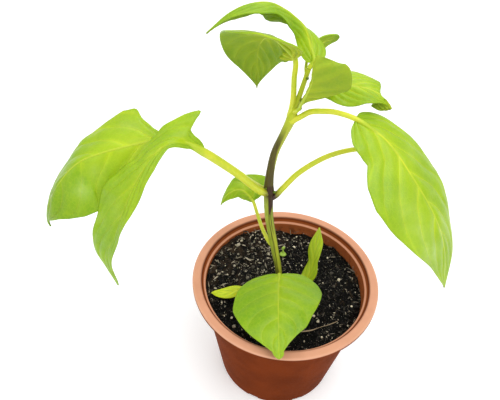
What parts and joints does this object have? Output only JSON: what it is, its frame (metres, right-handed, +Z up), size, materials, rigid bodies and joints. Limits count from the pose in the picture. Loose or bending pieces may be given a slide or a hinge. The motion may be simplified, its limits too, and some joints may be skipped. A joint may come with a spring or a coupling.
{
  "type": "potted bell pepper seedling",
  "caption": "Young bell pepper plant with arching, pointed leaves on a slender stem, rooted in potting soil in a round tapered plastic nursery pot.",
  "frame": {"origin": "centre of the pot's flat base", "axes": "+Z up, -Y towards the front of the plant, +X to the right seen from the front"},
  "size_m": [0.2145, 0.1231, 0.2745],
  "materials": {
    "pot": "satin terracotta-coloured plastic",
    "soil": "crumbly dark peat",
    "stem": "smooth green stem with dark purple streaks",
    "leaf": "softly glossy green leaf"
  },
  "bodies": {
    "root": {"pot": "pot", "soil": "soil", "stem": "stem", "leaf_front": "leaf", "leaf_low_left": "leaf", "leaf_right": "leaf", "leaf_right_lower": "leaf", "leaf_left": "leaf", "leaf_left_rear": "leaf", "leaf_top_rear": "leaf", "leaf_top_arch": "leaf", "leaf_top_front": "leaf", "leaf_top_right": "leaf", "leaf_top_bud": "leaf", "cotyledon_right": "leaf", "cotyledon_left": "leaf"}
  },
  "joints": []
}
